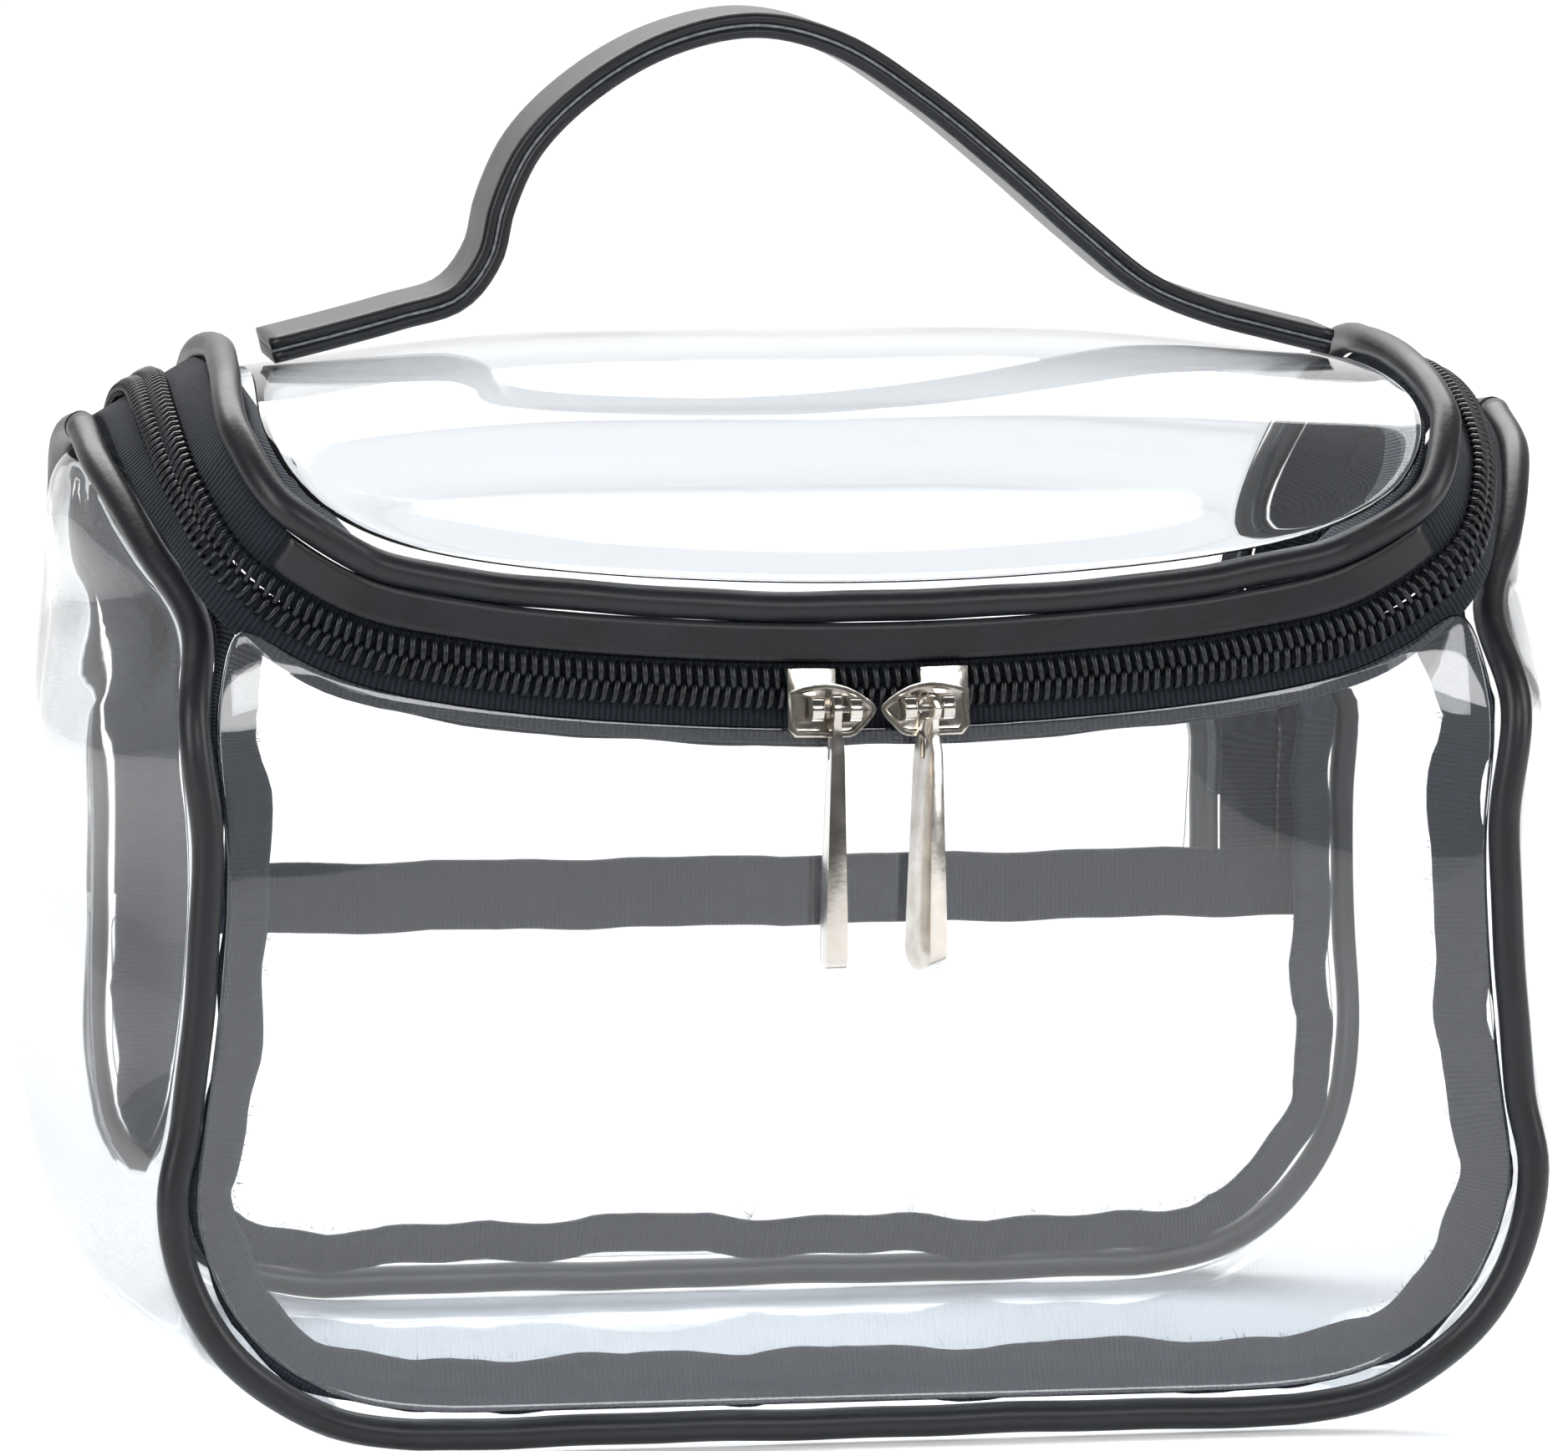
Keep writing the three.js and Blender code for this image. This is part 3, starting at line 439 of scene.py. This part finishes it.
def woven_tape(name, rib, low, high):
    """Woven polyester tape: ribs run across it, each crossed by fine yarns. Matt with a faint sheen.
    rib is the rib spacing in millimetres."""
    material, tree, shader = new_material(
        name, Roughness=0.85, Specular_IOR_Level=0.25, Sheen_Weight=0.1, Sheen_Roughness=0.5)
    uv = add(tree, "ShaderNodeUVMap", {"uv_map": "along"}).outputs["UV"]
    split = add(tree, "ShaderNodeSeparateXYZ", {}, Vector=uv)
    turns = 2 * math.pi / (rib * MM)
    along = add(tree, "ShaderNodeMath", {"operation": "MULTIPLY", 1: turns}, i0=split.outputs["X"])
    ribs = add(tree, "ShaderNodeMath", {"operation": "SINE"}, i0=along.outputs["Value"])
    yarn = add(tree, "ShaderNodeMath", {"operation": "MULTIPLY", 1: 2 * math.pi / (0.45 * MM)},
               i0=split.outputs["Y"])
    yarns = add(tree, "ShaderNodeMath", {"operation": "SINE"}, i0=yarn.outputs["Value"])
    cross = add(tree, "ShaderNodeMath", {"operation": "MULTIPLY_ADD", 1: 0.35}, i0=yarns.outputs["Value"],
                i2=ribs.outputs["Value"])
    place = add(tree, "ShaderNodeTexCoord").outputs["Object"]
    lint = add(tree, "ShaderNodeTexNoise", {"Scale": 900.0, "Detail": 3.0}, Vector=place)
    height = add(tree, "ShaderNodeMath", {"operation": "MULTIPLY_ADD", 1: 1.1}, i0=lint.outputs["Fac"],
                 i2=cross.outputs["Value"])
    level = add(tree, "ShaderNodeMapRange", {"From Min": -1.0, "From Max": 2.2},
                Value=height.outputs["Value"])
    # partly painted shade: the colour follows the relief, darker in the grooves between ribs and yarns; the
    # lint noise adds random tone
    colour = ramp(tree, level.outputs["Result"], (0.15, linear(low)), (0.85, linear(high)))
    tree.links.new(colour, shader.inputs["Base Color"])
    bump = add(tree, "ShaderNodeBump", {"Strength": 0.8, "Distance": 0.0003},
               Height=level.outputs["Result"])
    tree.links.new(bump.outputs["Normal"], shader.inputs["Normal"])
    return material


def nylon_coil():
    """Nylon monofilament, drawn and heat set: black, smooth, and shiny along each loop."""
    material, tree, shader = new_material(
        "black_nylon_monofilament", Roughness=0.3, IOR=1.53, Specular_IOR_Level=0.4)
    place = add(tree, "ShaderNodeTexCoord").outputs["Object"]
    shade = add(tree, "ShaderNodeTexNoise", {"Scale": 300.0, "Detail": 2.0}, Vector=place)
    colour = ramp(tree, shade.outputs["Fac"], (0.3, linear("0b0d10")), (0.7, linear("1a1e24")))
    tree.links.new(colour, shader.inputs["Base Color"])
    return material


def bright_nickel():
    """Bright nickel plate on die-cast zinc: warm silver, mirror-like, with faint casting waves."""
    material, tree, shader = new_material("bright_nickel_plate", Metallic=1.0, Roughness=0.16)
    place = add(tree, "ShaderNodeTexCoord").outputs["Object"]
    cloud = add(tree, "ShaderNodeTexNoise", {"Scale": 260.0, "Detail": 3.0}, Vector=place)
    colour = ramp(tree, cloud.outputs["Fac"], (0.3, linear("cfc8bf")), (0.7, linear("e4dfd8")))
    tree.links.new(colour, shader.inputs["Base Color"])
    rough = add(tree, "ShaderNodeMapRange", {"To Min": 0.1, "To Max": 0.24}, Value=cloud.outputs["Fac"])
    tree.links.new(rough.outputs["Result"], shader.inputs["Roughness"])
    bump = add(tree, "ShaderNodeBump", {"Strength": 0.15, "Distance": 0.0003}, Height=cloud.outputs["Fac"])
    tree.links.new(bump.outputs["Normal"], shader.inputs["Normal"])
    return material


def painted_gap_highlight():
    """A pale grey strip between the strap's two layers: painted highlight, standing for the gleam along the
    gap between them.
    """
    material, tree, shader = new_material("strap_gap_painted_highlight", Roughness=0.9)
    place = add(tree, "ShaderNodeTexCoord").outputs["Object"]
    highlight_mottle = add(tree, "ShaderNodeTexNoise", {"Scale": 1200.0, "Detail": 2.0}, Vector=place)
    # painted highlight: the pale grey of the strip between the strap's layers, mottled by noise
    colour = ramp(tree, highlight_mottle.outputs["Fac"], (0.3, linear("5d6066")), (0.7, linear("8a8d93")))
    tree.links.new(colour, shader.inputs["Base Color"])
    return material


def polyester_thread():
    """Loose polyester fibre ends: near black, matt."""
    return new_material("polyester_thread", Base_Color=linear("14181e"), Roughness=0.8)[0]


PVC = clear_pvc()
THREAD = polyester_thread()
PU = black_pu()
# each tape's two colours: the darker is painted shade in the rib grooves, the paler is the rib tops
TAPE = woven_tape("ribbed_zip_tape", 0.9, "0e1116", "272d37")
BINDING = woven_tape("ribbed_binding_tape", 0.8, "080b11", "18212d")
COIL = nylon_coil()
NICKEL = bright_nickel()
# painted highlight along the gap between the strap's two layers
GAP_HIGHLIGHT = painted_gap_highlight()

# ---- clear sheets
sheets = [
    ("front_panel", "clear_front_panel", "shell", (0.211, 0.118)),
    ("back_panel", "clear_back_panel", "shell", (0.211, 0.068)),
    ("gusset_strip", "clear_gusset", "shell", (0.5, 0.122)),
    ("lid_panel", "clear_lid", "lid", (0.19, 0.205)),
]
for node, name, body, flat in sheets:
    piece = smoothed_copy(node, name, PVC, body)

# ---- piping
def bead_wobble(seed):
    phase = seed * 1.7
    return lambda s: (0.12 * math.sin(s / 9.0 + phase) + 0.08 * math.sin(s / 3.7 + 2 * phase),
                      0.1 * math.sin(s / 7.0 + 3 * phase))


swept("front_piping_bead", front_seam, 0.001, 0.999, round_section(0, PIPING_RADIUS), 2.0, PU, "shell",
      ["front_piping"], bead_wobble(1))
swept("back_piping_bead", back_seam, 0.001, 0.999, round_section(0, PIPING_RADIUS), 2.0, PU, "shell",
      ["back_piping"], bead_wobble(2))
swept("lid_piping_bead", zip_line, 0.0, 1.0, round_section(BEAD_OFFSET, PIPING_RADIUS), 2.0, PU, "lid",
      ["lid_piping"], bead_wobble(3))

# ---- zip tapes and coils
swept("upper_zip_tape_woven", zip_line, 0.0, 1.0,
      strip_section(0.15, UPPER_OUTER + 0.4, -0.9, -0.1), 1.5, TAPE,
      "lid", ["upper_zip_tape"])
swept("lower_zip_tape_woven", zip_line, 0.0, 1.0, strip_section(-LOWER_OUTER, -0.15, -0.9, -0.1), 1.5, TAPE,
      "shell", ["lower_zip_tape"])
swept("upper_zip_facing_strip", zip_line, zip_at(-CORNER_STATION), zip_at(CORNER_STATION),
      strip_section(4.0, UPPER_OUTER + 0.6, 0.2, 1.1), 2.0, PU, "lid", ["upper_zip_facing"])


def coil_loop(side):
    """One turn of the coil as seen from outside: a bent monofilament from the tape up to the locking
    head by the centre line. Points are (along, across, out) in millimetres."""
    return [(-0.35, side * 3.1, 0.5), (-0.2, side * 3.2, 1.3), (0.0, side * 2.6, 1.95),
            (0.15, side * 1.4, 2.1), (0.3, side * 0.35, 1.9), (0.32, side * -0.35, 1.4),
            (0.3, side * 0.25, 0.8)]


def coil_row(name, side, body, replaced):
    sides = 6
    total = zip_line.lengths[-1]
    count = int(total / COIL_PITCH)
    bm = bmesh.new()
    shape = coil_loop(side)
    for n in range(count):
        shift = 0.5 if side < 0 else 0.0
        length = (n + 0.5 + shift) * COIL_PITCH
        if length > total - 0.6:
            continue
        point, tangent, across, out = zip_line.frame(zip_line.at_length(length))
        spots = [point + tangent * a + across * b + out * c for a, b, c in shape]
        rings = []
        for k, spot in enumerate(spots):
            ahead = (spots[min(k + 1, len(spots) - 1)] - spots[max(k - 1, 0)]).normalized()
            first = tangent - ahead * tangent.dot(ahead)
            first.normalize()
            second = ahead.cross(first)
            ring = []
            for j in range(sides):
                a = 2 * math.pi * j / sides
                wide = first * WIRE_RADIUS * WIRE_WIDENING * math.cos(a)
                tall = second * WIRE_RADIUS * math.sin(a)
                ring.append(bm.verts.new((spot + wide + tall) * MM))
            rings.append(ring)
        for one, two in zip(rings, rings[1:]):
            for j in range(sides):
                bm.faces.new((one[j], one[(j + 1) % sides], two[(j + 1) % sides], two[j]))
        bm.faces.new(rings[0][::-1])
        bm.faces.new(rings[-1])
    bmesh.ops.recalc_face_normals(bm, faces=bm.faces)
    mesh = bpy.data.meshes.new(name)
    bm.to_mesh(mesh)
    bm.free()
    return finish_mesh(name, mesh, COIL, body, [replaced])


coil_row("upper_coil_loops", 1, "lid", "upper_zip_coil")
coil_row("lower_coil_loops", -1, "shell", "lower_zip_coil")


# ---- woven bindings inside the seams
def ragged(seed, size=0.5, sag=0.0):
    """A hand-sewn tape wanders: slow waves with small uneven kinks on them."""
    phase = seed * 2.3
    kinks = [random.uniform(-0.45, 0.45) for _ in range(400)]

    def shift(s):
        place = s / 3.2
        i = int(place)
        kink = kinks[i] + (kinks[i + 1] - kinks[i]) * (place - i)
        slow = math.sin(s / 6.1 + phase) + 0.6 * math.sin(s / 2.9 + phase * 2)
        return size * (slow + kink) + sag * math.sin(s / 24.0), size * 0.8 * math.sin(s / 8.3 + phase * 3)
    return shift


seam_tape = strip_section(0, 9, -0.45, 0.45, 8)
inward = math.atan2(0.57, -0.82)
swept("front_seam_binding_tape", front_seam, 0.02, 0.98,
      turned_section(seam_tape, inward, TAPE_START), 2.5, BINDING,
      "shell", ["front_seam_binding"], ragged(1))
swept("back_seam_binding_tape", back_seam, 0.02, 0.98,
      turned_section(seam_tape, -inward, TAPE_START), 2.5, BINDING,
      "shell", ["back_seam_binding"], ragged(2, 0.5, 0.9))
lid_tape = turned_section(strip_section(0, 7, -0.45, 0.45, 6), -math.pi / 2, TAPE_START)
lid_tape = [(x + BEAD_OFFSET, y) for x, y in lid_tape]
lid_end = ZIP_HALF_COUNT - 0.75
swept("lid_seam_binding_tape", zip_line, zip_at(-lid_end), zip_at(lid_end), lid_tape, 2.5, BINDING, "lid",
      ["lid_seam_binding"], ragged(3, 0.2))
zip_end = CORNER_STATION - 0.6
swept("lower_zip_binding_tape", zip_line, zip_at(-zip_end), zip_at(zip_end),
      strip_section(-LOWER_OUTER - 0.5, -4.3, -2.6, -1.6, 6), 2.5, BINDING, "shell", ["lower_zip_binding"],
      ragged(4, 0.15))

low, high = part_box("hinge_binding")
hinge_path = Path([(Vector((x, (low.y + high.y) / 2 / MM, (low.z + high.z) / 2 / MM)), (0, 0, 1))
                   for x in (low.x / MM - 3.5, low.x / 2 / MM, 0, high.x / 2 / MM, high.x / MM + 3.5)])
swept("hinge_binding_tape", hinge_path, 0.0, 1.0, strip_section(-6, 6, -0.5, 0.5, 6), 3.0, BINDING, "shell",
      ["hinge_binding"], ragged(5, 0.2))

# ---- cut threads and fibre ends along the tapes' raw edges
def tuft(bm, root, spread, count, length, lean):
    """A bunch of fine bent hairs from one place."""
    for _ in range(count):
        spot = root + Vector([random.uniform(-spread, spread) for _ in range(3)])
        aim_way = (lean + Vector([random.uniform(-0.7, 0.7) for _ in range(3)])).normalized()
        curl = Vector([random.uniform(-0.5, 0.5) for _ in range(3)])
        reach_out = length * random.uniform(0.4, 1.0)
        rings = []
        for k in range(5):
            share = k / 4
            centre_point = spot + (aim_way + curl * share) * reach_out * share
            side_way = aim_way.cross(Vector((0.3, 0.8, 0.5))).normalized()
            other = aim_way.cross(side_way)
            thick = 0.07 * (1 - 0.7 * share)
            rings.append([bm.verts.new((centre_point + side_way * thick * math.cos(a)
                                        + other * thick * math.sin(a)) * MM)
                          for a in THREAD_CORNERS])
        for one, two in zip(rings, rings[1:]):
            for j in range(3):
                bm.faces.new((one[j], one[(j + 1) % 3], two[(j + 1) % 3], two[j]))
        bm.faces.new(rings[0][::-1])
        bm.faces.new(rings[-1])


def thread_ends():
    bm = bmesh.new()
    inner = turned_section([(8.9, 0)], -inward, 3.8)[0]
    up = Vector((0, -0.3, 1))
    for t, count, length in ((0.478, 7, 5.5), (0.4985, 5, 4.0)):
        point, _, across, out = back_seam.frame(1 - t)
        tuft(bm, point + across * inner[0] + out * inner[1], 0.5, count, length, up)
    for _ in range(260):
        t = random.uniform(0.05, 0.95)
        point, _, across, out = back_seam.frame(t)
        tuft(bm, point + across * inner[0] + out * inner[1], 0.3, 1, 1.1, -across)
        point, _, across, out = front_seam.frame(t)
        tuft(bm, point + across * inner[0] - out * inner[1], 0.3, 1, 1.0, -across)
    bmesh.ops.recalc_face_normals(bm, faces=bm.faces)
    mesh = bpy.data.meshes.new("thread_ends")
    bm.to_mesh(mesh)
    bm.free()
    finish_mesh("thread_ends", mesh, THREAD, "shell", ())


thread_ends()

# ---- handle
STRAP_SPINE = [
    (-86.5, 167.3), (-76, 169.9), (-66, 172.6), (-56.5, 175.6), (-51.5, 182), (-49.5, 190), (-45, 199.5),
    (-36, 208.5), (-23, 216), (-8.5, 219), (5, 215.8), (19, 207), (33, 195.8), (45.5, 185), (56, 176.8),
    (66, 172.6), (76, 169.9), (86.5, 167.3),
]
strap_line = Path([(Vector((x, 0, z)), (0, 1, 0)) for x, z in STRAP_SPINE])
strap_outer = strip_section(-STRAP_HALF, STRAP_HALF, STRAP_GAP, STRAP_GAP + STRAP_LAYER, 10, 0.7)
strap_inner = strip_section(-STRAP_HALF, STRAP_HALF, -STRAP_GAP - STRAP_LAYER, -STRAP_GAP, 10, 0.7)
strap_core = strip_section(-STRAP_HALF + 0.4, STRAP_HALF - 0.4, -0.22, 0.22, 4, 0.1)
outer_nodes = ["handle_arch_outer", "handle_left_end_outer", "handle_right_end_outer"]
inner_nodes = ["handle_arch_inner", "handle_left_end_inner", "handle_right_end_inner"]
layers = (
    ("strap_outer_layer", strap_outer, PU, outer_nodes),
    ("strap_inner_layer", strap_inner, PU, inner_nodes),
    # the pale grey middle strip is painted highlight along the gap between the layers
    ("strap_gap_highlight_strip", strap_core, GAP_HIGHLIGHT, []),
)
for name, section, material, replaced in layers:
    layer = swept(name, strap_line, 0.0, 1.0, section, 2.0, material, None, replaced)
    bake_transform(layer)


# ---- sliders and pulls: the die-cast shapes with rolled edges, and a rimmed recess in each shield
def start_casting(node, name):
    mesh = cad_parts[node].data.copy()
    mesh.name = name
    bm = bmesh.new()
    bm.from_mesh(mesh)
    bmesh.ops.remove_doubles(bm, verts=bm.verts, dist=1e-5)
    bmesh.ops.dissolve_limit(bm, angle_limit=0.02, verts=bm.verts, edges=bm.edges)
    bm.to_mesh(mesh)
    bm.free()
    obj = finish_mesh(name, mesh, NICKEL, None)
    bpy.ops.object.select_all(action="DESELECT")
    obj.select_set(True)
    bpy.context.view_layer.objects.active = obj
    return obj


def finish_casting(obj, node, body, width):
    bevel = obj.modifiers.new("rolled", "BEVEL")
    bevel.width = width * MM
    bevel.segments = 3
    bevel.limit_method = "ANGLE"
    bevel.angle_limit = math.radians(35)
    apply_modifiers(obj)
    bpy.ops.object.shade_smooth_by_angle(angle=math.radians(40))
    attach(obj, body)
    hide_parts(node)


def recess_front(obj, rim, depth):
    """Insets the largest front face and sinks its middle."""
    front = [p for p in obj.data.polygons if p.normal.y < -0.9]
    target = max(front, key=lambda p: p.area).index
    for polygon in obj.data.polygons:
        polygon.select = polygon.index == target
    for edge in obj.data.edges:
        edge.select = False
    for vertex in obj.data.vertices:
        vertex.select = False
    bpy.ops.object.mode_set(mode="EDIT")
    bpy.ops.mesh.select_mode(type="FACE")
    bpy.ops.mesh.inset(thickness=rim * MM, depth=0)
    bpy.ops.mesh.inset(thickness=0.3 * MM, depth=-depth * MM)
    bpy.ops.object.mode_set(mode="OBJECT")


for side in ("left", "right"):
    shield = start_casting(f"{side}_slider_plate", f"{side}_slider_shield")
    recess_front(shield, 0.75, 0.8)
    finish_casting(shield, f"{side}_slider_plate", f"{side}_slider", 0.22)
    lugs = start_casting(f"{side}_slider_bail", f"{side}_slider_lugs")
    finish_casting(lugs, f"{side}_slider_bail", f"{side}_slider", 0.3)
    bar = start_casting(f"{side}_pull", f"{side}_pull_bar")
    finish_casting(bar, f"{side}_pull", f"{side}_pull", 0.3)

# ---- camera, floor and light
camera_data = bpy.data.cameras.new("camera")
camera = bpy.data.objects.new("camera", camera_data)
bpy.context.scene.collection.objects.link(camera)
camera_data.lens = 211.6
camera_data.sensor_width = 36
azimuth, elevation, distance = math.radians(10), math.radians(8), 1.5
aim = Vector((-0.0016, 0, 0.1045))
forward = Vector((math.sin(azimuth) * math.cos(elevation), math.cos(azimuth) * math.cos(elevation),
                  -math.sin(elevation)))
camera.location = aim - forward * distance
camera.rotation_mode = "QUATERNION"
roll = Matrix.Rotation(math.radians(0.5), 4, "Z")
camera.rotation_quaternion = (forward.to_track_quat("-Z", "Y").to_matrix().to_4x4() @ roll).to_quaternion()
bpy.context.scene.camera = camera

floor_mesh = bpy.data.meshes.new("floor")
reach = 1.3
floor_mesh.from_pydata([(-reach, -reach, 0), (reach, -reach, 0), (reach, reach, 0), (-reach, reach, 0)], [],
                       [(0, 1, 2, 3)])
floor = bpy.data.objects.new("floor", floor_mesh)
bpy.context.scene.collection.objects.link(floor)
paper = new_material("studio_paper", Base_Color=(0.95, 0.95, 0.95, 1), Roughness=0.9)[0]
floor_mesh.materials.append(paper)
floor.location.z = -0.0005

world = bpy.data.worlds.new("studio")
bpy.context.scene.world = world
world.use_nodes = True
sky = world.node_tree
toward = add(sky, "ShaderNodeSeparateXYZ", {}, Vector=add(sky, "ShaderNodeTexCoord").outputs["Generated"])
behind = ramp(sky, toward.outputs["Y"], (0.0, (0.07, 0.07, 0.07, 1)), (0.45, (0.22, 0.22, 0.22, 1)),
              (0.8, (0.42, 0.42, 0.42, 1)), (0.93, (1, 1, 1, 1)))
path = add(sky, "ShaderNodeLightPath").outputs
seen = add(sky, "ShaderNodeMath", {"operation": "MAXIMUM"},
           i0=path["Is Camera Ray"], i1=path["Is Transmission Ray"])
backdrop = add(sky, "ShaderNodeMix", {"data_type": "RGBA", 7: (1, 1, 1, 1)},
               i0=seen.outputs["Value"], i6=behind)
sky.links.new(backdrop.outputs[2], sky.nodes["Background"].inputs["Color"])
sky.nodes["Background"].inputs["Strength"].default_value = 1.05


def softbox(name, place, aim_at, width, height, power):
    data = bpy.data.lights.new(name, "AREA")
    data.shape = "RECTANGLE"
    data.size, data.size_y = width, height
    data.energy = power
    obj = bpy.data.objects.new(name, data)
    obj.location = place
    obj.rotation_mode = "QUATERNION"
    obj.rotation_quaternion = (Vector(aim_at) - Vector(place)).to_track_quat("-Z", "Y")
    bpy.context.scene.collection.objects.link(obj)


centre = (0, 0, 0.1)
softbox("left_softbox", (-1.2, -0.9, 0.8), centre, 0.5, 1.1, 13)
softbox("right_softbox", (1.25, -0.6, 0.7), centre, 0.4, 1.1, 10)
softbox("top_softbox", (0, 1.0, 1.3), (0, 0.35, 0), 1.8, 1.0, 34)
softbox("front_softbox", (0.25, -1.5, 0.85), centre, 0.6, 0.4, 6)
bpy.context.scene.view_settings.view_transform = "Standard"
